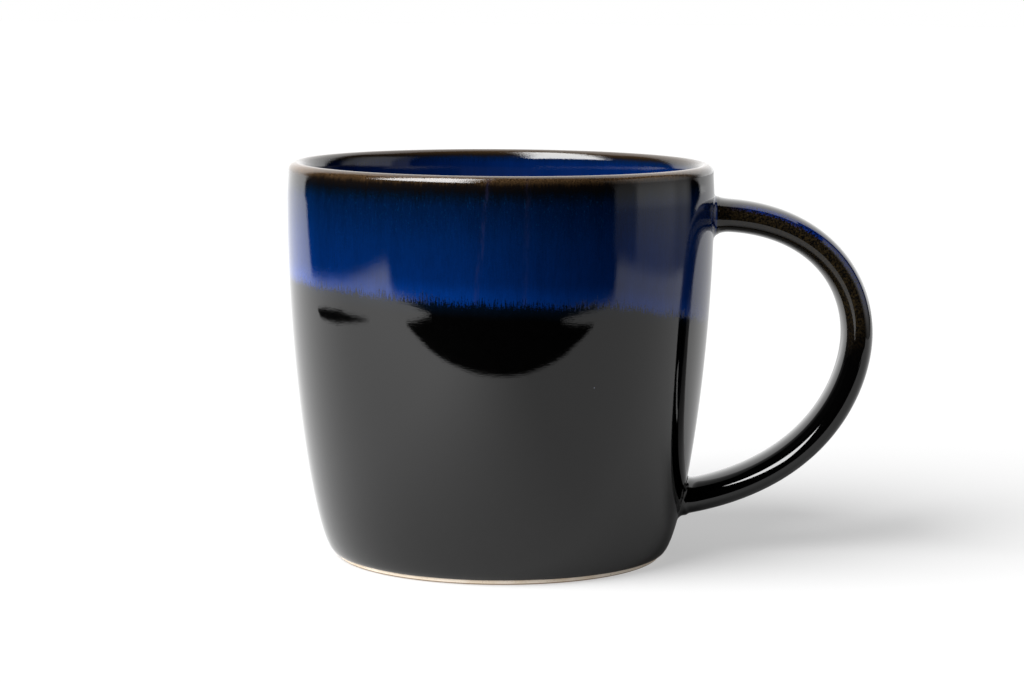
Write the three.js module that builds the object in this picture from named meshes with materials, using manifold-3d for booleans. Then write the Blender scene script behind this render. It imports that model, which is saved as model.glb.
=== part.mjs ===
// A glazed stoneware mug, 87 mm tall, with a loop handle on its +X side.
// Millimetres, +Z up. The origin is under the middle of the whole mug, handle included, on the surface
// that the foot ring stands on.
//
// It is built as a pottery builds it. The clay cup and the clay handle are formed alone and joined by two
// pads of slip. Glaze then covers them in stretches, each a thin coat over the clay, and stops just above
// the foot ring. The cup is worked out about its own axis and moved to the part's origin at the end.

import * as THREE from "three";
import { mergeVertices } from "three/addons/utils/BufferGeometryUtils.js";
import Module from "manifold-3d";

const wasm = await Module();
wasm.setup();

// ---- Driving dimensions -------------------------------------------------------------------------

const HEIGHT = 87;
const GLAZE = 0.4; // thickness of a coat
const FIT = 0.3; // kept between a piece and the neighbour that is cut to it

const MAX_RADIUS = 46.85; // of the glazed wall, at WIDEST_Z
const WIDEST_Z = 79.5;
const RIM_INSET = 0.25; // how far the wall draws in from there to the lip
const LIP_RADIUS = 1.8; // of the lip's outside and top, over the glaze
const LIP_TURN = THREE.MathUtils.degToRad(145); // how far round from its outside that radius holds
const MOUTH_RADIUS = 3.8; // of the gentler turn from there down into the mouth
const MOUTH_SLOPE = 0.09; // how fast the inner wall closes in below the lip
const FLOOR_Z = 7; // of the glazed floor inside
const CORNER_Z = 18; // where the inner wall starts to turn into the floor

const FOOT_RADIUS = 35.6; // where the foot ring meets the table
const FOOT_WIDTH = 3.6;
const FOOT_BEVEL = 0.4;
const FOOT_SLOPE = 1; // run of the ring's inner side
const RECESS_DEPTH = 1.8; // of the underside, inside the ring
const RECESS_BARE = 2; // bare clay between the ring and the underside's coat
const GLAZE_EDGE = { radius: 36.6, z: 1 }; // the wall's coat ends here, just above the ring

const DIP_LINE_Z = 58; // the blue coat above, the black one below
const LIP_COAT_Z = 83.1; // the lip's brown coat above

const HANDLE_WIDTH = 14;
const HANDLE_THICKNESS = { upper: 7.5, middle: 6.8, lower: 7.2 };
const SECTION_POWER = 2.3; // exponent of the superellipse that the handle's section is
const SECTION_LEAN = 0.18; // of half the thickness: how far out its widest place leans, low on the handle
const PAD_REACH = 2.6; // how far a pad of slip runs out from the wall
const PAD_FLARE = 0.6; // how far it stands out all round where it meets the wall

// Facets round and along the pieces.
const CUP_SIDES = 48;
const BLACK_STEPS = 9;
const BLUE_STEPS = 2;
const LIP_STEPS = 3;
const LINER_WALL_STEPS = 6;
const LINER_CORNER_STEPS = 5;
const HANDLE_SIDES = 16;
const PAD_STEPS = 4;
const UPPER_STEPS = 9;
const LOWER_STEPS = 13;

// ---- Solids -------------------------------------------------------------------------------------

const solidOf = (geometry) => {
  const shared = mergeVertices(geometry.clone().deleteAttribute("normal").deleteAttribute("uv"), 1e-4);
  const vertProperties = shared.attributes.position.array;
  const triVerts = new Uint32Array(shared.index.array);
  return new wasm.Manifold(new wasm.Mesh({ numProp: 3, vertProperties, triVerts }));
};

const geometryOf = (solid) => {
  const { vertProperties, triVerts } = solid.getMesh();
  return new THREE.BufferGeometry()
    .setAttribute("position", new THREE.BufferAttribute(new Float32Array(vertProperties), 3))
    .setIndex(new THREE.BufferAttribute(new Uint32Array(triVerts), 1));
};

const cut = (geometry, ...tools) =>
  geometryOf(tools.reduce((rest, tool) => rest.subtract(solidOf(tool)), solidOf(geometry)));

// A profile of (radius, height) points, turned about +Z. It runs with the solid on its left.
const turned = (profile) => new THREE.LatheGeometry(profile, CUP_SIDES).rotateX(Math.PI / 2);

const at = (radius, z) => new THREE.Vector2(radius, z);

// The value between low and high at which isBelow turns false.
const bisect = (low, high, isBelow) => {
  for (let step = 0; step < 40; step++) {
    const middle = (low + high) / 2;
    if (isBelow(middle)) low = middle;
    else high = middle;
  }
  return low;
};

const evenly = (from, to, steps) =>
  Array.from({ length: steps + 1 }, (_, i) => THREE.MathUtils.lerp(from, to, i / steps));

// ---- The glazed outline of the cup --------------------------------------------------------------

const glazeEdge = at(GLAZE_EDGE.radius, GLAZE_EDGE.z);
const rimRadius = MAX_RADIUS - RIM_INSET;
const lipCentre = at(rimRadius - LIP_RADIUS, HEIGHT - LIP_RADIUS);
const onCircle = (centre, radius) => (angle) =>
  at(Math.cos(angle), Math.sin(angle)).multiplyScalar(radius).add(centre);
const lipPoint = onCircle(lipCentre, LIP_RADIUS);
const mouthCentre = onCircle(lipPoint(LIP_TURN), -MOUTH_RADIUS)(LIP_TURN);
const mouthPoint = onCircle(mouthCentre, MOUTH_RADIUS);
const mouthTurn = Math.PI - Math.atan(MOUTH_SLOPE);
const lipFootRadius = rimRadius + RIM_INSET / 4; // the wall has drawn in three quarters of the way there

const outerWall = new THREE.CubicBezierCurve(
  glazeEdge,
  at(40.3, 2.2),
  at(MAX_RADIUS, 39.9),
  at(MAX_RADIUS, WIDEST_Z),
);
const innerTop = mouthPoint(mouthTurn);
const innerWall = new THREE.CubicBezierCurve(
  innerTop,
  at(innerTop.x - 6 * MOUTH_SLOPE, innerTop.y - 6),
  at(41.6, 33.5),
  at(37, CORNER_Z),
);
const innerCorner = new THREE.CubicBezierCurve(
  at(37, CORNER_Z),
  at(34.2, 8.6),
  at(28.5, FLOOR_Z),
  at(20, FLOOR_Z),
);

const wallParameter = (z) => bisect(0, 1, (t) => outerWall.getPoint(t).y < z);
const wallRadius = (z) => outerWall.getPoint(wallParameter(z)).x;
const dipParameter = wallParameter(DIP_LINE_Z);
const pointsOf = (curve, from, to, steps) => evenly(from, to, steps).map((t) => curve.getPoint(t));

// The stretches that the coats cover, in order from the foot, over the lip, to the middle of the floor.
// Each one starts on the last point of the one before it.
const outline = [glazeEdge];
const spans = {};
const stretch = (name, points) => {
  const first = outline.length - 1;
  outline.push(...points);
  spans[name] = [first, outline.length];
};
stretch("black", pointsOf(outerWall, 0, dipParameter, BLACK_STEPS).slice(1));
stretch("blue", [
  ...pointsOf(outerWall, dipParameter, 1, BLUE_STEPS).slice(1),
  at(lipFootRadius, LIP_COAT_Z),
]);
stretch("lip", [
  ...evenly(0, Math.PI / 2, LIP_STEPS).map(lipPoint),
  lipPoint(LIP_TURN),
  ...evenly(LIP_TURN, mouthTurn, LIP_STEPS).slice(1).map(mouthPoint),
]);
stretch("liner", [
  ...pointsOf(innerWall, 0, 1, LINER_WALL_STEPS).slice(1),
  ...pointsOf(innerCorner, 0, 1, LINER_CORNER_STEPS).slice(1),
  at(0, FLOOR_Z),
]);

// The clay lies one coat under the outline, square to it.
const clayLine = outline.map((point, i) => {
  const before = outline[Math.max(i - 1, 0)];
  const after = outline[Math.min(i + 1, outline.length - 1)];
  const tangent = after.clone().sub(before).normalize();
  return at(point.x - GLAZE * tangent.y, point.y + GLAZE * tangent.x);
});

const coat = (name) => {
  const outside = outline.slice(...spans[name]);
  const inside = clayLine.slice(...spans[name]).reverse();
  return turned([...outside, ...inside, outside[0]]);
};

// The whole cup up to the lip's coat, filled in and grown outwards: what leans on the wall is cut by it.
const filledTo = (line, growth) => {
  const wall = line.slice(0, spans.blue[1]).map(({ x, y }) => at(x + growth, y));
  return turned([at(0, wall[0].y), ...wall, at(0, wall.at(-1).y)]);
};

// ---- The cup's clay, with its foot ring ---------------------------------------------------------

const ringInside = FOOT_RADIUS - FOOT_WIDTH;
const recessRadius = ringInside - FOOT_BEVEL - FOOT_SLOPE;

const cupClay = () =>
  turned([
    at(0, RECESS_DEPTH),
    at(recessRadius, RECESS_DEPTH),
    at(ringInside - FOOT_BEVEL, FOOT_BEVEL),
    at(ringInside, 0),
    at(FOOT_RADIUS, 0),
    at(FOOT_RADIUS + FOOT_BEVEL, FOOT_BEVEL),
    ...clayLine,
  ]);

const undersideCoat = () =>
  turned([
    at(0, RECESS_DEPTH - GLAZE),
    at(recessRadius - RECESS_BARE, RECESS_DEPTH - GLAZE),
    at(recessRadius - RECESS_BARE, RECESS_DEPTH),
    at(0, RECESS_DEPTH),
  ]);

// ---- The handle ---------------------------------------------------------------------------------

// Its middle line leaves the upper wall level, rounds the fingers and comes back into the lower wall.
// Both ends lie inside the cup's wall, so that the wall cuts them.
const spot = (x, z) => new THREE.Vector3(x, 0, z);
const handleLine = new THREE.CurvePath();
const outermost = spot(78.85, 49.3);
handleLine.add(new THREE.CubicBezierCurve3(spot(41.1, 75.3), spot(65.7, 78.1), spot(78.85, 64.6), outermost));
handleLine.add(new THREE.CubicBezierCurve3(outermost, spot(78.85, 38.6), spot(70.6, 15.6), spot(35.2, 12)));
const handleLength = handleLine.getLength();

const isInWall = (share) => {
  const { x, z } = handleLine.getPoint(share);
  return x < wallRadius(z);
};
const upperRoot = bisect(0, 0.5, isInWall);
const lowerRoot = bisect(0.5, 1, (share) => !isInWall(share));
const upperPadEnd = upperRoot + PAD_REACH / handleLength;
const lowerPadEnd = lowerRoot - PAD_REACH / handleLength;
const handleDip = bisect(0, 1, (share) => handleLine.getPoint(share).z > DIP_LINE_Z);

// The shares of the line's length at which each stretch of the handle has a section.
const upperPadShares = [0, ...evenly(upperRoot, upperPadEnd, PAD_STEPS)];
const upperShares = evenly(upperPadEnd, handleDip, UPPER_STEPS);
const lowerShares = evenly(handleDip, lowerPadEnd, LOWER_STEPS);
const lowerPadShares = [...evenly(lowerPadEnd, lowerRoot, PAD_STEPS), 1];

// How far the pads flare out from the handle's own surface, at a share of its length.
const flare = (share) => {
  const outFromWall = handleLength * (share < 0.5 ? share - upperRoot : lowerRoot - share);
  const faded = THREE.MathUtils.clamp(outFromWall / PAD_REACH, 0, 1);
  return PAD_FLARE * (1 - faded) ** 2;
};

const thickness = (share) => {
  const end = share < 0.5 ? HANDLE_THICKNESS.upper : HANDLE_THICKNESS.lower;
  return THREE.MathUtils.lerp(HANDLE_THICKNESS.middle, end, (1 - 2 * share) ** 2);
};

const onSuperellipse = (component) => Math.sign(component) * Math.abs(component) ** (2 / SECTION_POWER);

// A closed bar along the handle's line through the given shares of its length, with its surface that far
// out from the clay's. It is a turned bar of radius 1, bent on to the line and shaped to the section.
const bar = (shares, growth = 0) => {
  const straight = [at(0, shares[0]), ...shares.map((share) => at(1, share)), at(0, shares.at(-1))];
  const geometry = new THREE.LatheGeometry(straight, HANDLE_SIDES);
  const position = geometry.getAttribute("position");
  const across = new THREE.Vector3(0, 1, 0);
  for (let i = 0; i < position.count; i++) {
    const share = position.getY(i);
    const stand = flare(share) + growth - GLAZE;
    const outward = handleLine.getTangent(share).cross(across);
    const point = handleLine.getPoint(share);
    const through = onSuperellipse(position.getX(i));
    const lean = SECTION_LEAN * THREE.MathUtils.smoothstep(share, 0.3, 0.75) * (1 - through ** 2);
    point.addScaledVector(outward, (through + lean) * (thickness(share) / 2 + stand));
    point.addScaledVector(across, onSuperellipse(position.getZ(i)) * (HANDLE_WIDTH / 2 + stand));
    position.setXYZ(i, point.x, point.y, point.z);
  }
  return geometry;
};

// Neighbouring stretches of shares as one, without the share that each has in common with the last.
const joined = (stretches) => stretches.flatMap((shares, i) => (i ? shares.slice(1) : shares));
const wholeHandle = bar(joined([upperPadShares, upperShares, lowerShares, lowerPadShares]));
const clayWall = filledTo(clayLine, FIT);
const glazedWall = filledTo(outline, FIT);
const handleCoat = (...stretches) => cut(bar(joined(stretches), GLAZE), wholeHandle, glazedWall);

// ---- The mug ------------------------------------------------------------------------------------

const finish = (color, roughness) => new THREE.MeshStandardMaterial({ color, roughness, metalness: 0 });
const bareClay = finish("#d9c3a4", 0.85);
const slip = finish("#cbb08c", 0.9);
const black = finish("#0a0a0b", 0.08);
const blue = finish("#04205c", 0.08);
const brown = finish("#463320", 0.15);

const mug = new THREE.Group();
const addPiece = (name, geometry, material) => {
  const piece = new THREE.Mesh(geometry, material);
  piece.name = name;
  mug.add(piece);
};

addPiece("cup_body", cupClay(), bareClay);
addPiece("handle", bar(joined([upperShares, lowerShares])), bareClay);
addPiece("upper_handle_joint", cut(bar(upperPadShares), clayWall), slip);
addPiece("lower_handle_joint", cut(bar(lowerPadShares), clayWall), slip);

addPiece("black_wall_glaze", cut(coat("black"), bar(lowerPadShares, FIT)), black);
addPiece("blue_band_glaze", cut(coat("blue"), bar(upperPadShares, FIT)), blue);
addPiece("lip_glaze", coat("lip"), brown);
addPiece("liner_glaze", coat("liner"), blue);
addPiece("underside_glaze", undersideCoat(), black);
addPiece("upper_handle_glaze", handleCoat(upperPadShares, upperShares), brown);
addPiece("lower_handle_glaze", handleCoat(lowerShares, lowerPadShares), black);

// The handle puts the mug's middle off the cup's axis.
const { min, max } = new THREE.Box3().setFromObject(mug);
mug.position.x = -(min.x + max.x) / 2;

export default new THREE.Group().add(mug);
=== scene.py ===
"""A glazed stoneware mug on a white table, about 87 mm tall, with a loop handle on its +X side.

The clay and the coats of glaze are rebuilt at full fineness on the outlines of the CAD nodes that they
replace. Lengths are millimetres about the cup's own axis, and every mesh is moved to the part's frame and
turned into metres when it is made. A turn of 0 faces the front, -Y, and the handle is at 90 degrees.
"""

import math

import bpy
import numpy as np
from mathutils import Matrix, Vector


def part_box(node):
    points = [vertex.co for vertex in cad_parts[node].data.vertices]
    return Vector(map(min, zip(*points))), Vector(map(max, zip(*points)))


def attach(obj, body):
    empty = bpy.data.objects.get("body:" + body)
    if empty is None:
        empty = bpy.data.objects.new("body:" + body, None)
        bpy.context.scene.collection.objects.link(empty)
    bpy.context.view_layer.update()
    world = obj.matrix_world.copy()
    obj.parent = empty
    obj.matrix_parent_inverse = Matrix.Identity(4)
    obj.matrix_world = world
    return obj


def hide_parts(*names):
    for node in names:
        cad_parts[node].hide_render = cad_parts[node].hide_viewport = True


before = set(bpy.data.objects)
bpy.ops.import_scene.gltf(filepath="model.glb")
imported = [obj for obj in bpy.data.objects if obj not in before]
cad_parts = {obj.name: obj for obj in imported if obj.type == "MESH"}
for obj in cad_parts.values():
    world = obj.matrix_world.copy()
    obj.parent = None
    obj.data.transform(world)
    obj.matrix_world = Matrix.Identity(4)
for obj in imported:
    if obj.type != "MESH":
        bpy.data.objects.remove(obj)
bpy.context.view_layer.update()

MM = 0.001

# ---- Driving dimensions, from the frame where it has them --------------------------------------------

cup_low, cup_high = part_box("cup_body")
AXIS_X = (cup_low.x + cup_high.x) / 2 / MM
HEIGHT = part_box("lip_glaze")[1].z / MM
MAX_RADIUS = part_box("blue_band_glaze")[1].y / MM
LIP_COAT_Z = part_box("lip_glaze")[0].z / MM

GLAZE = 0.4  # thickness of a coat
WIDEST_Z = 79.5  # where the wall is widest
RIM_INSET = 0.25  # how far it draws in from there to the lip
LIP_RADIUS = 1.8  # of the lip's outside and top
LIP_TURN = math.radians(145)  # how far round from its outside that radius holds
MOUTH_RADIUS = 3.8  # of the gentler turn from there down into the mouth
MOUTH_SLOPE = 0.09  # how fast the inner wall closes in below it
FLOOR_Z = 7.0  # of the glazed floor inside
INNER_CORNER = (37.0, 18.0)  # radius and height where the inner wall starts to turn into the floor
GLAZE_EDGE = (36.6, 1.0)  # radius and height where the wall's coat ends, just above the foot ring
EDGE_ROUNDING = 0.5  # over which the coat thins out there
FOOT_RADIUS = 35.6  # where the foot ring meets the table
FOOT_WIDTH = 3.6
FOOT_BEVEL = 0.4
FOOT_CORNER = 0.35  # rounding of the ring's corners
FOOT_SLOPE = 1.0  # run of the ring's inner side
RECESS_DEPTH = 1.8  # of the underside, inside the ring
RECESS_BARE = 2.0  # bare clay between the ring and the underside's coat
BLUE_EDGE_Z = 60.2  # where the blue coat ends in front
BLUE_EDGE_TILT = 1.6  # how much lower it ends towards the handle, and higher away from it
BLUE_EDGE_SAG = 17.0  # how strongly it sags next to the handle
SAG_FROM = 0.4  # sine of the turn at which the sag starts

HANDLE_WIDTH = 14.0
HANDLE_THICKNESS = {"upper": 7.5, "middle": 6.8, "lower": 7.2}
SECTION_POWER = 2.3  # exponent of the superellipse that the handle's section is
LEAN = 0.18  # how far the section's widest place leans outwards at the handle's lower end
PAD_REACH = 2.6  # how far a clay pad runs out from the wall
PAD_FLARE = 0.6  # how far it stands out where it meets the wall
FILLET_REACH = {"upper": 4.0, "lower": 3.0}  # how far the glaze in a root's corner runs out
# How far that glaze stands out next to the wall, and how much more on the side of the fingers.
FILLET_STAND = {"upper": (1.75, 0.45), "lower": (1.3, 0.2)}
FILLET_ROWS = 30
LEAST_GLAZE = 0.1  # over a pad
RIDGE = 0.05  # height of the roll of glaze round the handle's upper root
RIDGE_PLACE = 0.5  # where it is, as a share of the fillet's run
RIDGE_WIDTH = 0.06
HANDLE_DIP_Z = 58.0  # where the handle's two coats meet

# Facets round the cup and the handle.
CUP_SIDES = 192
HANDLE_SIDES = 72


# ---- Curves ------------------------------------------------------------------------------------------


def bezier(points, count):
    """Points on a cubic Bezier curve, and its direction at each."""
    a, b, c, d = (np.array(p, float) for p in points)
    t = np.linspace(0, 1, count)[:, None]
    place = (1 - t) ** 3 * a + 3 * (1 - t) ** 2 * t * b + 3 * (1 - t) * t**2 * c + t**3 * d
    way = 3 * (1 - t) ** 2 * (b - a) + 6 * (1 - t) * t * (c - b) + 3 * t**2 * (d - c)
    return place, unit(way)


def arc(centre, radius, first, last, count):
    """The same for a stretch of a circle, in radians."""
    angle = np.linspace(first, last, count)[:, None]
    side = np.sign(last - first)
    out = np.hstack([np.cos(angle), np.sin(angle)])
    way = side * np.hstack([-np.sin(angle), np.cos(angle)])
    return np.array(centre) + radius * out, way


def unit(vectors):
    """The vectors' directions, at length 1."""
    return vectors / np.linalg.norm(vectors, axis=-1, keepdims=True)


def smoothstep(value, low, high):
    """0 up to low, 1 from high, smooth between them."""
    t = np.clip((value - low) / (high - low), 0, 1)
    return t * t * (3 - 2 * t)


# ---- The glazed outline of the cup, as (radius, height), from the foot over the lip to the floor -----

RIM_RADIUS = MAX_RADIUS - RIM_INSET
LIP_CENTRE = (RIM_RADIUS - LIP_RADIUS, HEIGHT - LIP_RADIUS)
LIP_BASE_Z = LIP_CENTRE[1]
MOUTH_TURN = math.pi - math.atan(MOUTH_SLOPE)
MOUTH_CENTRE = (
    LIP_CENTRE[0] + (LIP_RADIUS - MOUTH_RADIUS) * math.cos(LIP_TURN),
    LIP_CENTRE[1] + (LIP_RADIUS - MOUTH_RADIUS) * math.sin(LIP_TURN),
)
INNER_TOP = (
    MOUTH_CENTRE[0] + MOUTH_RADIUS * math.cos(MOUTH_TURN),
    MOUTH_CENTRE[1] + MOUTH_RADIUS * math.sin(MOUTH_TURN),
)
FINE = 600  # points of a curve before it is measured off by length
POLE_GAP = 1.5  # between the last ring of a disc and its middle

stretches = [
    bezier([GLAZE_EDGE, (40.3, 2.2), (MAX_RADIUS, 39.9), (MAX_RADIUS, WIDEST_Z)], FINE),
    bezier(
        [
            (MAX_RADIUS, WIDEST_Z),
            (MAX_RADIUS, WIDEST_Z + 2),
            (RIM_RADIUS, LIP_BASE_Z - 2),
            (RIM_RADIUS, LIP_BASE_Z),
        ],
        FINE,
    ),
    arc(LIP_CENTRE, LIP_RADIUS, 0, LIP_TURN, FINE),
    arc(MOUTH_CENTRE, MOUTH_RADIUS, LIP_TURN, MOUTH_TURN, FINE),
    bezier(
        [
            INNER_TOP,
            (INNER_TOP[0] - 6 * MOUTH_SLOPE, INNER_TOP[1] - 6),
            (41.6, 33.5),
            INNER_CORNER,
        ],
        FINE,
    ),
    bezier([INNER_CORNER, (34.2, 8.6), (28.5, FLOOR_Z), (20, FLOOR_Z)], FINE),
    bezier([(20, FLOOR_Z), (14, FLOOR_Z), (7, FLOOR_Z), (0, FLOOR_Z)], FINE),
]
outline_points = np.vstack([place for place, _ in stretches])
outline_ways = np.vstack([way for _, way in stretches])
steps = np.linalg.norm(np.diff(outline_points, axis=0), axis=1)
outline_run = np.concatenate([[0], np.cumsum(steps)])
OUTLINE_LENGTH = outline_run[-1]
top = int(np.argmax(outline_points[:, 1]))


def outline(run):
    """Radius, height and outward direction (radial, up) of the glazed surface, that far from its foot."""
    radius = np.interp(run, outline_run, outline_points[:, 0])
    height = np.interp(run, outline_run, outline_points[:, 1])
    way_r = np.interp(run, outline_run, outline_ways[:, 0])
    way_z = np.interp(run, outline_run, outline_ways[:, 1])
    size = np.hypot(way_r, way_z)
    return radius, height, way_z / size, -way_r / size


def run_outside(height):
    """How far up the outer wall a height is."""
    return np.interp(height, outline_points[:top, 1], outline_run[:top])


def run_inside(height):
    """How far along the outline a height of the inner wall is."""
    return np.interp(-height, -outline_points[top:, 1], outline_run[top:])


def wall_radius(height):
    """Radius of the outer wall."""
    return np.interp(height, outline_points[:top, 1], outline_points[:top, 0])


def dip_line(turn):
    """Height at which the blue coat ends, a little uneven at the sides and the back."""
    across = np.sin(turn)
    sag = np.maximum(0, across - SAG_FROM) ** 2
    uneven = 0.25 * np.sin(3 * turn + 0.6) + 0.15 * np.sin(7 * turn + 2.0)
    return BLUE_EDGE_Z - BLUE_EDGE_TILT * across - BLUE_EDGE_SAG * sag + uneven * (np.cos(turn) < 0.3)


# ---- Meshes ------------------------------------------------------------------------------------------


def mesh_piece(name, rows, normals, looped, poles=(None, None)):
    """A closed solid made of rings of points. The rings are looped, or end in two poles.

    rows and normals are (ring, place round it, xyz) in millimetres about the mug's axis.
    """
    rings, sides = rows.shape[:2]
    points = list(rows.reshape(-1, 3))
    directions = list(normals.reshape(-1, 3))
    faces = []
    for i in range(rings if looped else rings - 1):
        here = i * sides
        there = (i + 1) % rings * sides
        for j in range(sides):
            k = (j + 1) % sides
            faces.append((here + j, here + k, there + k, there + j))
    for ring, pole in zip((0, rings - 1), poles):
        if pole is None:
            continue
        place, direction = pole
        tip = len(points)
        points.append(np.array(place, float))
        directions.append(np.array(direction, float))
        for j in range(sides):
            a, b = ring * sides + j, ring * sides + (j + 1) % sides
            faces.append((tip, b, a) if ring == 0 else (tip, a, b))
    points = (np.array(points) + (AXIS_X, 0, 0)) * MM
    directions = np.array(directions)
    if volume(points, faces) < 0:
        faces = [face[::-1] for face in faces]
    mesh = bpy.data.meshes.new(name)
    mesh.from_pydata(points.tolist(), [], faces)
    mesh.shade_smooth()
    mesh.normals_split_custom_set_from_vertices(directions.tolist())
    piece = bpy.data.objects.new(name, mesh)
    bpy.context.scene.collection.objects.link(piece)
    return piece


def volume(points, faces):
    """Signed volume inside the faces, by their fans of triangles."""
    total = 0.0
    for size in (3, 4):
        those = np.array([face for face in faces if len(face) == size])
        for k in range(1, size - 1):
            if len(those):
                a, b, c = points[those[:, 0]], points[those[:, k]], points[those[:, k + 1]]
                total += np.einsum("ij,ij->", a, np.cross(b, c)) / 6
    return total


turns = np.linspace(0, 2 * math.pi, CUP_SIDES, endpoint=False)


def turned(radius, height):
    """Rings of points from (ring, place) or (ring,) radii and heights."""
    radius = np.broadcast_to(np.atleast_2d(radius.T).T, (len(radius), CUP_SIDES))
    height = np.broadcast_to(np.atleast_2d(height.T).T, (len(height), CUP_SIDES))
    return np.stack([radius * np.sin(turns), -radius * np.cos(turns), height], axis=-1)


def surface(run, depth=0.0):
    """Points and directions of the surface that lies that deep under the glazed outline."""
    radius, height, out, up = outline(run)
    points = turned(radius - depth * out, height - depth * up)
    return points, turned(out, up)


def spread(first, last, count):
    """Rows of distances from first to last, each of which may differ round the mug."""
    first = np.broadcast_to(first, (CUP_SIDES,))
    last = np.broadcast_to(last, (CUP_SIDES,))
    share = np.linspace(0, 1, count)[:, None]
    return first + (last - first) * share


def coat(name, first, last, count):
    """A coat of glaze over the clay between two distances along the outline."""
    outside, outward = surface(spread(first, last, count))
    inside, inward = surface(spread(last, first, max(count // 4, 6)), GLAZE)
    return mesh_piece(name, np.vstack([outside, inside]), np.vstack([outward, -inward]), looped=True)


dip_run = run_outside(dip_line(turns))
lip_first = run_outside(LIP_COAT_Z)
lip_last = run_inside(INNER_TOP[1])


def black_wall():
    """The black coat. At the foot it ends in a rounded, slightly wavering edge."""
    first = 0.1 + 0.05 * np.sin(5 * turns + 1) + 0.03 * np.sin(13 * turns) + 0.02 * np.sin(31 * turns + 2)
    edge = spread(0, 1, 10)[1:] ** 2 * EDGE_ROUNDING
    run = np.vstack([first + edge, spread(first + EDGE_ROUNDING, dip_run, 62)[1:]])
    roundness = np.clip((run - first) / EDGE_ROUNDING, 0, 1)
    thickness = GLAZE * np.sqrt(np.clip(1 - (1 - roundness) ** 2, 0.0, 1))
    radius, height, out, up = outline(run)
    depth = GLAZE - thickness
    outside = turned(radius - depth * out, height - depth * up)
    lean = np.where(roundness < 1, 1 - roundness, 0)
    level = np.sqrt(1 - lean**2)
    outward = unit(turned(out, up) * level[..., None] - turned(-up, out) * lean[..., None])
    inside, inward = surface(spread(dip_run, first, 16), GLAZE)
    rows = np.vstack([outside, inside])
    normals = np.vstack([outward, -inward])
    return mesh_piece("black_wall_glaze_coat", rows, normals, looped=True)


def liner():
    """The liner's coat, closed over the middle of the floor."""
    far = OUTLINE_LENGTH - POLE_GAP
    outside, outward = surface(spread(lip_last, far, 64))
    inside, inward = surface(spread(far, lip_last, 20), GLAZE)
    top_pole = ((0, 0, FLOOR_Z), (0, 0, 1))
    under_pole = ((0, 0, FLOOR_Z - GLAZE), (0, 0, -1))
    rows = np.vstack([outside[::-1], inside[::-1]])
    normals = np.vstack([outward[::-1], -inward[::-1]])
    return mesh_piece("liner_glaze_coat", rows, normals, looped=False, poles=(top_pole, under_pole))


def rounded(corner_points, radius, count=5):
    """A (radius, height) outline with its corners rounded off."""
    corners = [np.array(p, float) for p in corner_points]
    made = [corners[0]]
    for before, corner, after in zip(corners, corners[1:], corners[2:]):
        to_before = unit(before - corner) * min(radius, np.linalg.norm(before - corner) / 2)
        to_after = unit(after - corner) * min(radius, np.linalg.norm(after - corner) / 2)
        for t in np.linspace(0, 1, count):
            made.append(corner + to_before * (1 - t) ** 2 + to_after * t**2)
    made.append(corners[-1])
    return np.array(made)


def profile_normals(profile):
    """Directions square to an outline that runs with the solid on its left."""
    way = unit(np.gradient(profile, axis=0))
    return way[:, 1], -way[:, 0]


def cup_clay():
    """The thrown cup: recess, foot ring, wall, lip, and the floor inside."""
    ring_inside = FOOT_RADIUS - FOOT_WIDTH
    recess_radius = ring_inside - FOOT_BEVEL - FOOT_SLOPE
    run = np.concatenate(
        [
            np.linspace(0, lip_first, 26),
            np.linspace(lip_first, lip_last, 14)[1:],
            np.linspace(lip_last, OUTLINE_LENGTH - POLE_GAP, 34)[1:],
        ]
    )
    radius, height, out, up = outline(run)
    clay_line = np.stack([radius - GLAZE * out, height - GLAZE * up], axis=-1)
    foot = rounded(
        [
            (3, RECESS_DEPTH),
            (recess_radius, RECESS_DEPTH),
            (ring_inside - FOOT_BEVEL, FOOT_BEVEL),
            (ring_inside, 0),
            (FOOT_RADIUS, 0),
            (FOOT_RADIUS + FOOT_BEVEL, FOOT_BEVEL),
            clay_line[0],
        ],
        FOOT_CORNER,
    )
    profile = np.vstack([foot[:-1], clay_line])
    out, up = profile_normals(profile)
    rows = turned(profile[:, 0], profile[:, 1])
    normals = turned(out, up)
    under_pole = ((0, 0, RECESS_DEPTH), (0, 0, -1))
    top_pole = ((0, 0, FLOOR_Z - GLAZE), (0, 0, 1))
    return mesh_piece("cup_clay", rows, normals, looped=False, poles=(under_pole, top_pole))


def underside():
    """The disc of glaze in the recess, thinning out at its edge."""
    edge = FOOT_RADIUS - FOOT_WIDTH - FOOT_BEVEL - FOOT_SLOPE - RECESS_BARE
    waver = 0.35 * np.sin(4 * turns + 0.5) + 0.2 * np.sin(9 * turns)
    share = np.sin(np.linspace(0, math.pi / 2, 9))
    radius = np.concatenate([np.linspace(2, edge - 1, 12), edge - 1 + share[1:]])
    lift = np.concatenate([np.zeros(12), 1 - np.cos(np.linspace(0, math.pi / 2, 9))[1:]])
    wavering = radius[:, None] + waver * (radius / edge)[:, None]
    below = turned(wavering, RECESS_DEPTH - GLAZE * (1 - lift))
    above = turned(wavering[::-1][1:], np.full(len(radius) - 1, RECESS_DEPTH))
    down = turned(lift * 0.9, -1 + 0 * lift)
    rows = np.vstack([below, above])
    normals = np.vstack([unit(down), turned(np.zeros(len(above)), np.ones(len(above)))])
    poles = (((0, 0, RECESS_DEPTH - GLAZE), (0, 0, -1)), ((0, 0, RECESS_DEPTH), (0, 0, 1)))
    return mesh_piece("underside_glaze_coat", rows, normals, looped=False, poles=poles)


# ---- The handle --------------------------------------------------------------------------------------

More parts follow.
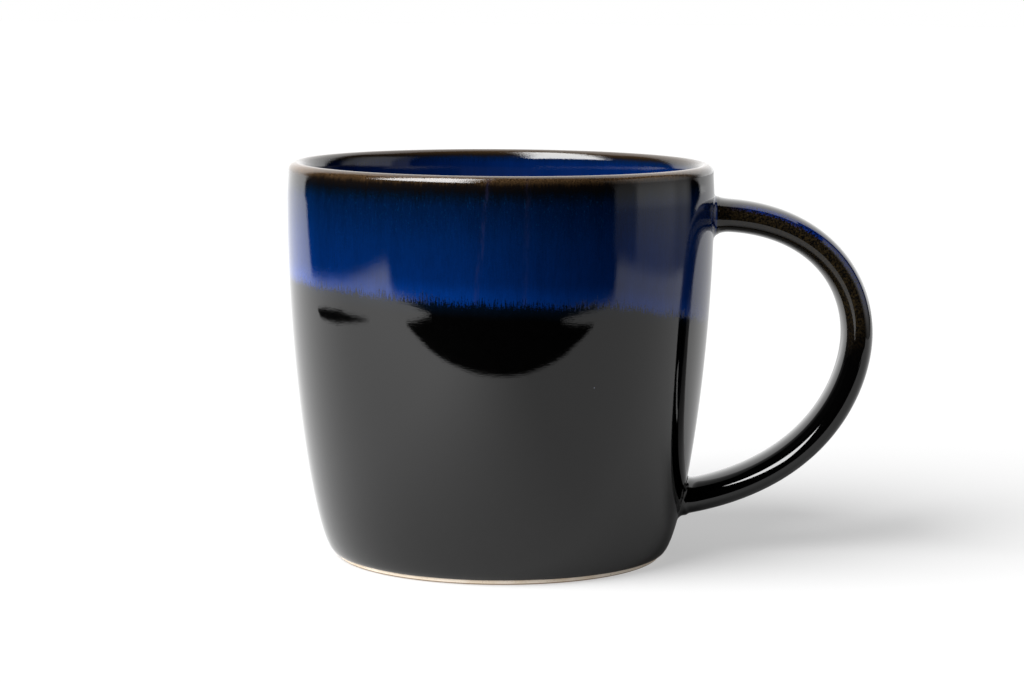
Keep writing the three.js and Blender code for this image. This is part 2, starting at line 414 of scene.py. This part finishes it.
FURTHEST = (78.85, 49.3)  # where the handle's line is furthest out
upper_half, upper_ways = bezier([(41.1, 75.3), (65.7, 78.1), (FURTHEST[0], 64.6), FURTHEST], FINE)
lower_half, lower_ways = bezier([FURTHEST, (FURTHEST[0], 38.6), (70.6, 15.6), (35.2, 12)], FINE)
handle_points = np.vstack([upper_half, lower_half[1:]])
handle_ways = np.vstack([upper_ways, lower_ways[1:]])
handle_steps = np.linalg.norm(np.diff(handle_points, axis=0), axis=1)
handle_run = np.concatenate([[0], np.cumsum(handle_steps)])
HANDLE_LENGTH = handle_run[-1]
sides = np.linspace(0, 2 * math.pi, HANDLE_SIDES, endpoint=False)


def on_superellipse(component):
    """A sine or cosine, moved on to the handle's section."""
    return np.sign(component) * np.abs(component) ** (2 / SECTION_POWER)


def handle_skin(run, side, stand):
    """Points of the handle's surface, that far along its line, at an angle round it, standing out so much."""
    x = np.interp(run, handle_run, handle_points[:, 0])
    z = np.interp(run, handle_run, handle_points[:, 1])
    way_x = np.interp(run, handle_run, handle_ways[:, 0])
    way_z = np.interp(run, handle_run, handle_ways[:, 1])
    size = np.hypot(way_x, way_z)
    share = run / HANDLE_LENGTH
    end = np.where(share < 0.5, HANDLE_THICKNESS["upper"], HANDLE_THICKNESS["lower"])
    middle = HANDLE_THICKNESS["middle"]
    thickness = middle + (end - middle) * (1 - 2 * share) ** 2
    outward = on_superellipse(np.cos(side))
    outward = outward + LEAN * smoothstep(share, 0.3, 0.75) * (1 - outward**2)
    across = on_superellipse(np.sin(side))
    reach = outward * (thickness / 2 + stand)
    place = (x - way_z / size * reach, across * (HANDLE_WIDTH / 2 + stand), z + way_x / size * reach)
    return np.stack(np.broadcast_arrays(*place), axis=-1)


HALVINGS = 40  # enough to find a root to the last digit


def root_run(side, stand, upper):
    """Where the handle's surface enters the cup's wall."""
    low = np.zeros_like(side + stand) + (0 if upper else HANDLE_LENGTH * 0.6)
    high = np.zeros_like(side + stand) + (HANDLE_LENGTH * 0.4 if upper else HANDLE_LENGTH)
    for _ in range(HALVINGS):
        middle = (low + high) / 2
        point = handle_skin(middle, side, stand)
        inside = np.hypot(point[..., 0], point[..., 1]) < wall_radius(point[..., 2])
        goes_up = inside if upper else ~inside
        low = np.where(goes_up, middle, low)
        high = np.where(goes_up, high, middle)
    return low


def skin_normals(points):
    """Directions square to a grid of points that is closed round the handle."""
    along = np.gradient(points, axis=0)
    around = np.roll(points, -1, axis=1) - np.roll(points, 1, axis=1)
    return unit(np.cross(around, along))


def normals_facing(rows, sign):
    """A skin's normals, turned outwards if sign is 1 and inwards if it is -1."""
    normals = skin_normals(rows)
    away = rows - rows.mean(axis=1, keepdims=True)
    if sign * np.einsum("ijk,ijk->", normals, away) < 0:
        normals = -normals
    return normals


def fillet(end, side, t):
    """How far out the glaze in a root's corner runs, and how far it stands out, from the wall (t 0) on."""
    middle, swing = FILLET_STAND[end]
    stand = (middle - swing * np.cos(side)) * (1 - t) ** 2
    if end == "upper":
        stand = stand + RIDGE * np.exp(-(((t - RIDGE_PLACE) / RIDGE_WIDTH) ** 2))
    return FILLET_REACH[end] * t**2, stand


def clay_stand(past_root):
    """How far the clay stands out from the handle's glazed surface, from its root to the pad's end (1)."""
    return PAD_FLARE * (1 - past_root) ** 2 - GLAZE


def handle_coat(name, upper, rows_along):
    """One of the handle's two coats, from the cup's wall to the dip line."""
    end = "upper" if upper else "lower"
    inwards = 1 if upper else -1
    side = sides[None, :]
    reach, stand = fillet(end, side, np.linspace(0, 1, FILLET_ROWS)[:, None])
    fillet_runs = root_run(side, stand, upper) + inwards * reach
    pad_root = root_run(np.zeros((1, 1)), -HANDLE_THICKNESS[end] / 2, upper)
    past_root = np.clip(inwards * (fillet_runs - pad_root) / PAD_REACH, 0, 1)
    stand = np.maximum(stand, clay_stand(past_root) + LEAST_GLAZE)
    fillet_rows = handle_skin(fillet_runs, side, stand)

    bare_root = root_run(side, 0 * side, upper)
    first = bare_root + inwards * FILLET_REACH[end]
    dip = np.interp(-HANDLE_DIP_Z, -handle_points[:, 1], handle_run)
    share = np.linspace(0, 1, rows_along)[1:, None]
    rest_runs = first + (dip - first) * share
    outside = np.vstack([fillet_rows, handle_skin(rest_runs, side, 0)])

    back_runs = np.vstack([rest_runs[::-1][::4], first, fillet_runs[::-1][::3]])
    past_root = np.clip(np.abs(back_runs - bare_root) / PAD_REACH, 0, 1)
    inside = handle_skin(back_runs, side, clay_stand(past_root))
    normals = np.vstack([normals_facing(outside, 1), normals_facing(inside, -1)])
    return mesh_piece(name, np.vstack([outside, inside]), normals, looped=True)


# ---- Materials ---------------------------------------------------------------------------------------


def srgb(red, green, blue):
    """A colour as it is named on screens, 0 to 255, made linear."""
    def linear(value):
        value /= 255
        return value / 12.92 if value <= 0.04045 else ((value + 0.055) / 1.055) ** 2.4
    return (linear(red), linear(green), linear(blue), 1.0)


class Number:
    """A number that a node gives. Arithmetic on it makes more nodes."""

    def __init__(self, graph, socket):
        self.graph = graph
        self.socket = socket

    def __add__(self, other):
        return self.graph.math("ADD", self, other)

    def __sub__(self, other):
        return self.graph.math("SUBTRACT", self, other)

    def __rsub__(self, other):
        return self.graph.math("SUBTRACT", other, self)

    def __mul__(self, other):
        return self.graph.math("MULTIPLY", self, other)

    def __truediv__(self, other):
        return self.graph.math("DIVIDE", self, other)

    def __pow__(self, other):
        return self.graph.math("POWER", self, other)

    __radd__ = __add__
    __rmul__ = __mul__


class Graph:
    """The nodes of one material, with the place on the mug in millimetres about its axis."""

    def __init__(self, name):
        self.material = bpy.data.materials.new(name)
        self.material.use_nodes = True
        self.tree = self.material.node_tree
        self.tree.nodes.clear()
        coordinates = self.tree.nodes.new("ShaderNodeTexCoord").outputs["Object"]
        moved = self.vector("SUBTRACT", coordinates, (AXIS_X * MM, 0, 0))
        self.place = self.vector("SCALE", moved, scale=1 / MM)
        split = self.tree.nodes.new("ShaderNodeSeparateXYZ")
        self.tree.links.new(self.place, split.inputs[0])
        self.x, self.y, self.z = (Number(self, split.outputs[i]) for i in range(3))

    def facing(self):
        """The direction that the surface faces, as three numbers."""
        normal = self.tree.nodes.new("ShaderNodeNewGeometry").outputs["Normal"]
        split = self.tree.nodes.new("ShaderNodeSeparateXYZ")
        self.tree.links.new(normal, split.inputs[0])
        return [Number(self, split.outputs[i]) for i in range(3)]

    def fill(self, socket, value):
        """Gives a socket a value, or links it to where the value comes from."""
        if isinstance(value, Number):
            value = value.socket
        if isinstance(value, bpy.types.NodeSocket):
            self.tree.links.new(value, socket)
        else:
            socket.default_value = value

    def math(self, operation, *values):
        """One step of arithmetic on numbers."""
        node = self.tree.nodes.new("ShaderNodeMath")
        node.operation = operation
        for socket, value in zip(node.inputs, values):
            self.fill(socket, value)
        return Number(self, node.outputs[0])

    def vector(self, operation, *values, scale=None):
        """One step of arithmetic on vectors."""
        node = self.tree.nodes.new("ShaderNodeVectorMath")
        node.operation = operation
        for socket, value in zip(node.inputs, values):
            self.fill(socket, value)
        if scale is not None:
            self.fill(node.inputs["Scale"], scale)
        return node.outputs["Vector"]

    def stretched(self, *factors):
        """The place, drawn out or pressed together along each axis."""
        return self.vector("MULTIPLY", self.place, factors)

    def noise(self, place, size, detail=2.0, roughness=0.5):
        """Soft noise round 0.5, with blobs of about that size in millimetres."""
        node = self.tree.nodes.new("ShaderNodeTexNoise")
        self.fill(node.inputs["Vector"], place)
        node.inputs["Scale"].default_value = 1 / size
        node.inputs["Detail"].default_value = detail
        node.inputs["Roughness"].default_value = roughness
        return Number(self, node.outputs[0])

    def specks(self, size, radius, share):
        """Round dots of that radius, in that share of cells of that size."""
        node = self.tree.nodes.new("ShaderNodeTexVoronoi")
        self.fill(node.inputs["Vector"], self.place)
        node.inputs["Scale"].default_value = 1 / size
        chosen = self.tree.nodes.new("ShaderNodeSeparateColor")
        self.tree.links.new(node.outputs["Color"], chosen.inputs[0])
        red = Number(self, chosen.outputs[0])
        near = self.step(Number(self, node.outputs["Distance"]), radius / size, radius / size * 0.5)
        return near * self.step(red, share, share * 0.98)

    def step(self, value, low, high):
        """0 up to low, 1 from high, smooth between them. low may be the greater."""
        node = self.tree.nodes.new("ShaderNodeMapRange")
        node.interpolation_type = "SMOOTHSTEP"
        self.fill(node.inputs["Value"], value)
        for name, limit in (("From Min", low), ("From Max", high)):
            self.fill(node.inputs[name], limit)
        return Number(self, node.outputs["Result"])

    def ramp(self, value, length, stops):
        """Colours at given values between 0 and length, smooth between them."""
        node = self.tree.nodes.new("ShaderNodeValToRGB")
        self.fill(node.inputs[0], value / length)
        elements = node.color_ramp.elements
        while len(elements) < len(stops):
            elements.new(0.5)
        for element, (at, colour) in zip(elements, stops):
            element.position = at / length
            element.color = colour
        return node.outputs["Color"]

    def mix(self, share, first, second, how="MIX"):
        """Two colours mixed, all the second at share 1. A mix node's colour sockets are 6, 7 and 2."""
        node = self.tree.nodes.new("ShaderNodeMix")
        node.data_type = "RGBA"
        node.blend_type = how
        self.fill(node.inputs["Factor"], share)
        self.fill(node.inputs[6], first)
        self.fill(node.inputs[7], second)
        return node.outputs[2]

    def grey(self, value):
        """A colour of three equal numbers."""
        node = self.tree.nodes.new("ShaderNodeCombineColor")
        for socket in node.inputs:
            self.fill(socket, value)
        return node.outputs[0]

    def times(self, colour, factor):
        """A colour made darker or lighter by a number."""
        return self.mix(1.0, colour, self.grey(factor), "MULTIPLY")

    def bump(self, height, distance):
        """A surface that stands that many millimetres out where height is 1."""
        node = self.tree.nodes.new("ShaderNodeBump")
        node.inputs["Strength"].default_value = 1.0
        node.inputs["Distance"].default_value = distance * MM
        self.fill(node.inputs["Height"], height)
        return node.outputs["Normal"]

    def surface(self, colour, roughness, normal, ior=1.5):
        """The finished material."""
        shader = self.tree.nodes.new("ShaderNodeBsdfPrincipled")
        self.fill(shader.inputs["Base Color"], colour)
        self.fill(shader.inputs["Roughness"], roughness)
        self.fill(shader.inputs["Normal"], normal)
        shader.inputs["IOR"].default_value = ior
        output = self.tree.nodes.new("ShaderNodeOutputMaterial")
        self.tree.links.new(shader.outputs[0], output.inputs["Surface"])
        return self.material


GLAZE_IOR = 1.52
BUMP_UNIT = 0.001  # millimetres that a bump of height 1 stands out
DRIP_TOP_Z = 80.0
BLACK = srgb(2, 2, 2)
NAVY = srgb(2, 8, 17)
PALE = srgb(150, 158, 178)
LIP_BROWN = srgb(56, 42, 27)


def glaze_marks(g):
    """The pale pinholes that every coat has here and there."""
    return g.specks(6.5, 0.17, 0.1)


def streaks(g):
    """Fine threads that hang down the wall, the broader runs among them, and the grain over both."""
    thread = g.noise(g.stretched(1, 1, 0.12), 0.34, 3.0, 0.7)
    run = g.noise(g.stretched(1, 1, 0.16), 2.6, 2.0)
    grain = g.noise(g.place, 0.26, 2.0, 0.7)
    return thread, run, grain


def lip_grain(g, below_rim):
    """The crystals that roughen the brown glaze of the lip."""
    return g.noise(g.place, 0.24, 2.0, 0.75) * g.step(below_rim, 3.2, 0.8)


def drip(g, x, lean):
    """A pale run down the front, at x near the rim, leaning by so much for every millimetre down."""
    thread = g.noise(g.stretched(1, 1, 0.2), 0.7, 3.0, 0.7)
    off = g.math("ABSOLUTE", g.x - x - (DRIP_TOP_Z - g.z) * lean)
    return g.step(off, 0.9, 0.1) * g.step(g.y, 0.0, -5.0) * g.step(thread, 0.35, 0.7)


def gloss(g, colour, height, grain, roughness=0.02):
    """The clear skin over a glaze: nearly a mirror, and uneven by the height's small waves."""
    return g.surface(colour, roughness + roughness * grain, g.bump(height, BUMP_UNIT), GLAZE_IOR)


def liner_colour(g, below_rim, thread, run, grain):
    """Blue under a thin brown edge."""
    depth = below_rim + (thread - 0.5) * 0.8 + (run - 0.5) * 0.4 + (grain - 0.5) * 0.8
    body = g.ramp(
        depth,
        80,
        [
            (0.0, LIP_BROWN),
            (0.8, srgb(32, 23, 14)),
            (1.3, srgb(14, 12, 12)),
            (1.9, srgb(3, 17, 44)),
            (3.0, srgb(1, 22, 66)),
            (40.0, srgb(1, 26, 76)),
            (72.0, srgb(2, 20, 56)),
        ],
    )
    return g.times(body, 0.45 + 0.6 * thread + 0.4 * run + 0.2 * grain)


def dipped_blue(g, below_rim, across, thread, run, grain):
    """The outer wall's blue: brown on the lip, nearly black under it, lighter and bluer downwards, and with
    painted light and shade round the wall.
    """
    depth = below_rim + (thread - 0.5) * 2.4 + (run - 0.5) * 1.2 + (grain - 0.5) * 2.2
    body = g.ramp(
        depth,
        30,
        [
            (0.0, LIP_BROWN),
            (1.2, srgb(44, 32, 19)),
            (1.9, srgb(13, 9, 7)),
            (3.2, srgb(5, 6, 9)),
            (4.4, srgb(2, 9, 22)),
            (6.4, srgb(1, 15, 42)),
            (14.0, srgb(1, 23, 63)),
            (27.0, srgb(1, 28, 78)),
        ],
    )
    crystals = g.step(below_rim, 3.2, 0.4) * (g.step(grain, 0.38, 0.62) - 0.4)
    speckle = 0.3 + 1.5 * crystals + 0.5 * grain
    # Painted light and shade round the wall: a little darker on the handle's half, about twice as light where
    # it turns away at the handle's side, and lighter still at the far left.
    painted_light_by_side = 1 - 0.2 * g.step(across, -0.2, 0.3)
    painted_light_by_side = painted_light_by_side + 1.1 * g.step(across, 0.45, 0.75) + 1.2 * g.step(across, -0.8, -0.95)
    body = g.times(body, (speckle + 0.6 * thread + 0.35 * run) * painted_light_by_side)
    teal = g.step(g.noise(g.stretched(1, 1, 0.4), 0.36, 3.0, 0.8), 0.56, 0.78)
    teal = teal * g.step(below_rim, 3.2, 5.0) * g.step(below_rim, 18.0, 7.0)
    return g.mix(teal * 0.6, body, srgb(3, 46, 82))


def above_blue_edge(g, across):
    """How far above the edge of the blue coat a place on the wall is. The edge wanders a little."""
    sag = g.math("MAXIMUM", across - SAG_FROM, 0.0)
    edge = BLUE_EDGE_Z - BLUE_EDGE_TILT * across - BLUE_EDGE_SAG * (sag * sag)
    wander = g.noise(g.stretched(1, 1, 0), 9.0, 2.0) - 0.5
    return g.z - edge + wander * 1.4


def share_of_blue(g, above, grain):
    """1 in the blue and 0 in the black, with a fringe of fine spikes between them."""
    spike = g.noise(g.stretched(1, 1, 0.07), 0.24, 3.0, 0.8)
    tall = g.noise(g.stretched(1, 1, 0.0), 1.5, 2.0)
    fringe = g.step(spike, 0.42, 0.75) * 4.4 * (0.1 + tall) + (grain - 0.5) * 4.0
    return g.step(above - fringe, -0.5, 0.7)


def wall_relief(g, below_rim, blue_share, grain):
    """The wall's small waves: hanging ones in the blue, level ones in the black, and a rough lip."""
    upright = g.noise(g.stretched(1, 1, 0.13), 0.5, 2.0, 0.55)
    level = g.noise(g.stretched(0.2, 0.2, 1), 0.3, 2.0, 0.6)
    sway = g.noise(g.place, 7.0, 1.0)
    height = (upright * 3.0 + grain * 4.0) * blue_share + level * (1 - blue_share) * 1.6
    return height + grain * 0.9 + sway * 10.0 + lip_grain(g, below_rim) * 22.0


def wall_glaze(name):
    """The outer wall's glaze from foot to lip: black, a fringe of spikes, blue, and a brown lip."""
    g = Graph(name)
    radius = (g.x * g.x + g.y * g.y) ** 0.5
    across = g.x / radius
    below_rim = HEIGHT - g.z
    thread, run, grain = streaks(g)
    above = above_blue_edge(g, across)
    blue_share = share_of_blue(g, above, grain)

    blue = dipped_blue(g, below_rim, across, thread, run, grain)
    blue = g.times(blue, 1 + 0.55 * g.step(above, 5.5, 1.0))
    drips = g.math("MAXIMUM", drip(g, -3.2, -0.1), drip(g, 5.4, -0.02) * 0.6)
    blue = g.mix(drips * 0.22, blue, srgb(46, 44, 74))
    in_mouth = g.step(radius, LIP_CENTRE[0] + 0.3, LIP_CENTRE[0] - 0.5)
    blue = g.mix(in_mouth, blue, liner_colour(g, below_rim, thread, run, grain))
    navy = g.mix(g.step(above, -3.0, 0.2), BLACK, NAVY)
    black = g.times(navy, 0.6 + 0.8 * g.noise(g.stretched(1, 1, 0.5), 1.1, 3.0))
    colour = g.mix(blue_share, black, blue)
    colour = g.mix(glaze_marks(g) * 0.75, colour, PALE)
    return gloss(g, colour, wall_relief(g, below_rim, blue_share, grain), grain)


def liner_glaze(name):
    """The blue glaze inside."""
    g = Graph(name)
    thread, run, grain = streaks(g)
    body = liner_colour(g, HEIGHT - g.z, thread, run, grain)
    colour = g.mix(glaze_marks(g) * 0.75, body, PALE)
    upright = g.noise(g.stretched(1, 1, 0.13), 0.5, 2.0, 0.55)
    height = upright * 3.0 + grain * 4.5 + g.noise(g.place, 7.0, 1.0) * 10.0
    return gloss(g, colour, height, grain)


HANDLE_MIDDLE = (50.0, 44.0)  # x and z of a point in the handle's opening
ROOT_BLUE_AND_HIGHLIGHT_X = 46.9  # where the upper root's blue ends, and where a painted highlight, a line of lighter blue, runs round it


def handle_glaze(name):
    """Mottled brown and olive over black on the handle's upper part, blue where it runs thick, and a painted
    highlight of lighter blue round the upper root.
    """
    g = Graph(name)
    mottle = g.noise(g.place, 0.4, 3.0, 0.75)
    cloud = g.noise(g.place, 4.0, 2.0)
    grain = g.noise(g.place, 0.26, 2.0, 0.7)
    out_x, _, out_z = g.facing()
    away_x, away_z = g.x - HANDLE_MIDDLE[0], g.z - HANDLE_MIDDLE[1]
    away = (away_x * away_x + away_z * away_z) ** 0.5
    outward = (out_x * away_x + out_z * away_z) / away

    brown = g.mix(g.step(mottle, 0.4, 0.66), srgb(5, 5, 6), srgb(40, 32, 18))
    blue = g.mix(g.step(mottle, 0.35, 0.65), srgb(3, 8, 24), srgb(8, 34, 100))
    on_edge = g.step(outward + (mottle - 0.5) * 1.2, 0.62, 0.8) * g.step(outward, 0.97, 0.86)
    on_edge = on_edge * g.step(g.z, 52.0, 60.0) * g.step(g.x, 48.0, 56.0)
    in_root = g.step(g.x + (cloud - 0.5) * 0.6, ROOT_BLUE_AND_HIGHLIGHT_X + 0.2, ROOT_BLUE_AND_HIGHLIGHT_X - 0.4)
    upper = g.mix(g.math("MAXIMUM", in_root, on_edge), brown, blue)
    # Painted highlight: a line of lighter blue round the upper root, along the roll of glaze there.
    painted_ridge_highlight = g.step(g.math("ABSOLUTE", g.x - ROOT_BLUE_AND_HIGHLIGHT_X), 0.35, 0.05)
    upper = g.mix(painted_ridge_highlight * (0.4 + 0.5 * mottle), upper, srgb(34, 66, 138))
    low = g.step(g.z + (cloud - 0.5) * 10.0, HANDLE_DIP_Z, HANDLE_DIP_Z - 14)
    colour = g.mix(low, upper, BLACK)
    colour = g.mix(glaze_marks(g) * 0.6, colour, srgb(130, 122, 110))
    height = mottle * (1 - low) * 3.0 + g.noise(g.place, 5.0, 1.0) * 8.0
    return gloss(g, colour, height, grain, 0.03)


def bare_clay(name):
    """Gritty cream stoneware, toasted next to the glaze, darker in its pores, and with painted shade low down
    where the foot meets the table.
    """
    g = Graph(name)
    cloud = g.noise(g.place, 6.0, 3.0)
    grit = g.noise(g.place, 0.35, 3.0, 0.7)
    colour = g.mix(g.step(cloud, 0.35, 0.7), srgb(232, 219, 202), srgb(220, 203, 180))
    toasted = g.step(g.z + (cloud - 0.5) * 0.3, 0.9, 1.25)
    colour = g.mix(toasted * 0.6, colour, srgb(176, 138, 98))
    # Painted shade: a thin darker brown band low on the foot ring, just above where it meets the table.
    painted_contact_shade = g.step(g.z, 0.42, 0.28) * g.step(g.z, 0.02, 0.1)
    colour = g.mix(painted_contact_shade * 0.85, colour, srgb(112, 84, 56))
    colour = g.mix(g.step(grit, 0.58, 0.72) * 0.5, colour, srgb(140, 112, 82))
    colour = g.mix(g.specks(1.6, 0.14, 0.4), colour, srgb(84, 60, 40))
    return g.surface(colour, 0.72 + 0.2 * grit, g.bump(grit * 60.0 + cloud * 40.0, BUMP_UNIT), 1.45)


# ---- The mug -----------------------------------------------------------------------------------------


def place_piece(piece, material, slot, *nodes):
    """Gives a piece its material, hangs it on the root body, and hides the CAD nodes that it replaces."""
    piece.data.materials.append(material)
    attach(piece, "root")
    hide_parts(*nodes)


clay = bare_clay("bare_stoneware")
outer = wall_glaze("dipped_wall_glaze")
inner = liner_glaze("blue_liner_glaze")
on_handle = handle_glaze("mottled_handle_glaze")

place_piece(cup_clay(), clay, "bare_clay", "cup_body")
place_piece(black_wall(), outer, "black_glaze", "black_wall_glaze")
place_piece(coat("blue_band_glaze_coat", dip_run, lip_first, 30), outer, "blue_glaze", "blue_band_glaze")
place_piece(coat("lip_glaze_coat", lip_first, lip_last, 26), outer, "brown_glaze", "lip_glaze")
place_piece(liner(), inner, "blue_glaze", "liner_glaze")
# The handle's glaze is plain black this far down.
place_piece(underside(), on_handle, "black_glaze", "underside_glaze")
upper_coat = handle_coat("upper_handle_glaze_coat", upper=True, rows_along=70)
lower_coat = handle_coat("lower_handle_glaze_coat", upper=False, rows_along=96)
place_piece(upper_coat, on_handle, "handle_glaze", "upper_handle_glaze")
place_piece(lower_coat, on_handle, "black_glaze", "lower_handle_glaze")
for node in ("handle", "upper_handle_joint", "lower_handle_joint"):
    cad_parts[node].data.materials.clear()
    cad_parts[node].data.materials.append(clay)


# ---- Camera ------------------------------------------------------------------------------------------

CAMERA_DISTANCE = 632.0
CAMERA_HEIGHT = 129.1
CAMERA_DOWN = math.radians(7.37)
CAMERA_RIGHT = math.radians(0.242)
CAMERA_ROLL = math.radians(0.38)
LENS = 101.3


def make_camera():
    camera = bpy.data.objects.new("camera", bpy.data.cameras.new("camera"))
    camera.data.sensor_width = 36
    camera.data.lens = LENS
    camera.data.clip_start = 0.01
    ahead = Vector(
        (
            math.sin(CAMERA_RIGHT) * math.cos(CAMERA_DOWN),
            math.cos(CAMERA_RIGHT) * math.cos(CAMERA_DOWN),
            -math.sin(CAMERA_DOWN),
        )
    )
    level = Vector((math.cos(CAMERA_RIGHT), -math.sin(CAMERA_RIGHT), 0))
    over = level.cross(ahead)
    right = level * math.cos(CAMERA_ROLL) + over * math.sin(CAMERA_ROLL)
    up = over * math.cos(CAMERA_ROLL) - level * math.sin(CAMERA_ROLL)
    turn = Matrix((right, up, -ahead)).transposed()
    camera.matrix_world = turn.to_4x4()
    camera.location = (AXIS_X * MM, -CAMERA_DISTANCE * MM, CAMERA_HEIGHT * MM)
    bpy.context.scene.collection.objects.link(camera)
    bpy.context.scene.camera = camera


make_camera()


# ---- The studio --------------------------------------------------------------------------------------


def stage_mesh(name, points, faces, material, seen_by):
    """Something that stands round the mug and that only the named kinds of ray meet."""
    mesh = bpy.data.meshes.new(name)
    mesh.from_pydata([((x + AXIS_X) * MM, y * MM, z * MM) for x, y, z in points], [], faces)
    mesh.materials.append(material)
    thing = bpy.data.objects.new(name, mesh)
    bpy.context.scene.collection.objects.link(thing)
    thing.visible_camera = "camera" in seen_by
    thing.visible_diffuse = "diffuse" in seen_by
    thing.visible_glossy = "glossy" in seen_by
    thing.visible_transmission = False
    thing.visible_volume_scatter = False
    thing.visible_shadow = "shadow" in seen_by


def lit(name, brightness, glow=0.0):
    """A matt surface. glow is light that it shows to the camera alone."""
    g = Graph(name)
    shader = g.tree.nodes.new("ShaderNodeBsdfPrincipled")
    g.fill(shader.inputs["Base Color"], g.grey(brightness(g)) if callable(brightness) else brightness)
    shader.inputs["Roughness"].default_value = 1.0
    shader.inputs["Specular IOR Level"].default_value = 0.0
    shader.inputs["Emission Color"].default_value = (1, 1, 1, 1)
    seen = Number(g, g.tree.nodes.new("ShaderNodeLightPath").outputs["Is Camera Ray"])
    g.fill(shader.inputs["Emission Strength"], seen * glow)
    output = g.tree.nodes.new("ShaderNodeOutputMaterial")
    g.tree.links.new(shader.outputs[0], output.inputs["Surface"])
    g.material.cycles.emission_sampling = "NONE"
    return g.material


def glowing(name, brightness):
    """A card that gives light, the same everywhere or as a function of the place on it."""
    g = Graph(name)
    g.material.cycles.emission_sampling = "NONE"
    emission = g.tree.nodes.new("ShaderNodeEmission")
    g.fill(emission.inputs["Strength"], brightness(g) if callable(brightness) else brightness)
    output = g.tree.nodes.new("ShaderNodeOutputMaterial")
    g.tree.links.new(emission.outputs[0], output.inputs["Surface"])
    return g.material


def card(name, corners, material):
    """A flat card that is seen only as the glaze mirrors it."""
    stage_mesh(name, corners, [tuple(range(len(corners)))], material, ("glossy",))


def upright(first, last, low, high):
    """Corners of a wall over the line between two plan points."""
    return [(*first, low), (*last, low), (*last, high), (*first, high)]


FLOOR_HALF = 6000
BOUNCE_HALF = 75


def square(half, height):
    """Corners of a level square about the cup's axis."""
    return [(-half, -half, height), (half, -half, height), (half, half, height), (-half, half, height)]


stage_mesh(
    "floor",
    square(FLOOR_HALF, 0),
    [(0, 1, 2, 3)],
    lit("white_floor", (0.33, 0.33, 0.33, 1), glow=0.44),
    ("camera", "shadow"),
)

# What the table throws back up at the bare clay of the foot. It lies under the floor, which lets it by.
stage_mesh(
    "bounce",
    square(BOUNCE_HALF, -0.5),
    [(0, 1, 2, 3)],
    glowing("bounced_light", lambda g: 1.05 - 0.75 * g.step(g.x, -20.0, 40.0)),
    ("diffuse",),
)

# The table top as the glaze mirrors it, with painted light that makes its colour lighter on the left. It ends
# in front where the camera stands, and runs out behind into the sweep.
TABLE = [
    (-414, 215), (-424, 68), (-420, -100), (-425, -234), (-390, -237), (-332, -213), (-287, -206),
    (-248, -228), (-168, -249), (-213, -190), (0, -187), (212, -189), (143, -252), (208, -230), (274, -191),
    (302, -182), (333, -188), (387, -212), (444, -237), (460, -213), (462, 215), (1990, 1880), (-2350, 1880),
]


def painted_table_light(g):
    """Painted light in the table's colour: bright on the left, most of all in front there, and half as bright
    on the right.
    """
    left = 0.76 + 0.2 * g.step(g.y, 0.0, -180.0)
    to_right = g.step(g.x, -110.0, 60.0)
    return left * (1 - to_right) + 0.42 * to_right


stage_mesh(
    "table_in_the_glaze",
    [(x, y, 0.02) for x, y in TABLE],
    [tuple(range(len(TABLE)))],
    lit("table_white", painted_table_light),
    ("glossy",),
)

DARK_STRIP = [
    (-276, -105), (-284, -72), (-295, -18), (-301, 48), (-306, 103), (-325, 130), (-335, 81), (-328, 3),
    (-304, -58),
]
card("dark_strip", [(x, y, 0.5) for x, y in DARK_STRIP], glowing("unlit", 0.0))


def right_wall_brightness(g):
    """Brighter upwards, with a dim panel towards the camera and a fall towards the far end."""
    up = 0.33 + 0.5 * g.step(g.z, 0.0, 105.0)
    panel = 0.36 + 0.64 * g.step(g.y, -150.0, -130.0)
    far = (1 - 0.35 * g.step(g.y, 60.0, 130.0)) * (1 - 0.5 * g.step(g.y, 180.0, 235.0))
    return up * panel * far


backdrop_white = glowing("backdrop_white", 1.38)
card("backdrop", upright((-2350, 1880), (1990, 1880), 0, 3400), backdrop_white)
card("overhead", [(-600, 520, 900), (600, 520, 900), (600, 150, 900), (-600, 150, 900)], backdrop_white)
card("right_wall", upright((466, -268), (466, 240), 0, 450), glowing("dim_wall", right_wall_brightness))
card(
    "softbox",
    [(-640, -215, 415), (-215, -640, 385), (-105, -140, 1000), (-246, 0, 1000)],
    glowing("softbox_light", 16.0),
)


KEY_STRENGTH = 7.8
KEY_ANGLE = math.radians(54)  # how broad it is in the sky
KEY_WAY = (0.83, 0.56, -0.8)


def make_key_light():
    """The broad light from the left in front that throws the soft shadow."""
    key = bpy.data.objects.new("key", bpy.data.lights.new("key", "SUN"))
    key.data.energy = KEY_STRENGTH
    key.data.angle = KEY_ANGLE
    key.rotation_mode = "QUATERNION"
    key.rotation_quaternion = Vector(KEY_WAY).to_track_quat("-Z", "Y")
    key.visible_glossy = False
    bpy.context.scene.collection.objects.link(key)


def make_world():
    """White to the camera, an even soft light on the mug, and dark in its mirror."""
    world = bpy.data.worlds.new("studio")
    bpy.context.scene.world = world
    world.use_nodes = True
    nodes = world.node_tree.nodes
    links = world.node_tree.links
    nodes.clear()
    path = nodes.new("ShaderNodeLightPath")
    strength = nodes.new("ShaderNodeMath")
    strength.operation = "MULTIPLY_ADD"
    links.new(path.outputs["Is Diffuse Ray"], strength.inputs[0])
    strength.inputs[1].default_value = 0.3
    links.new(path.outputs["Is Camera Ray"], strength.inputs[2])
    background = nodes.new("ShaderNodeBackground")
    background.inputs["Color"].default_value = (1, 1, 1, 1)
    links.new(strength.outputs[0], background.inputs["Strength"])
    output = nodes.new("ShaderNodeOutputWorld")
    links.new(background.outputs[0], output.inputs["Surface"])


make_key_light()
make_world()
bpy.context.scene.view_settings.view_transform = "Standard"
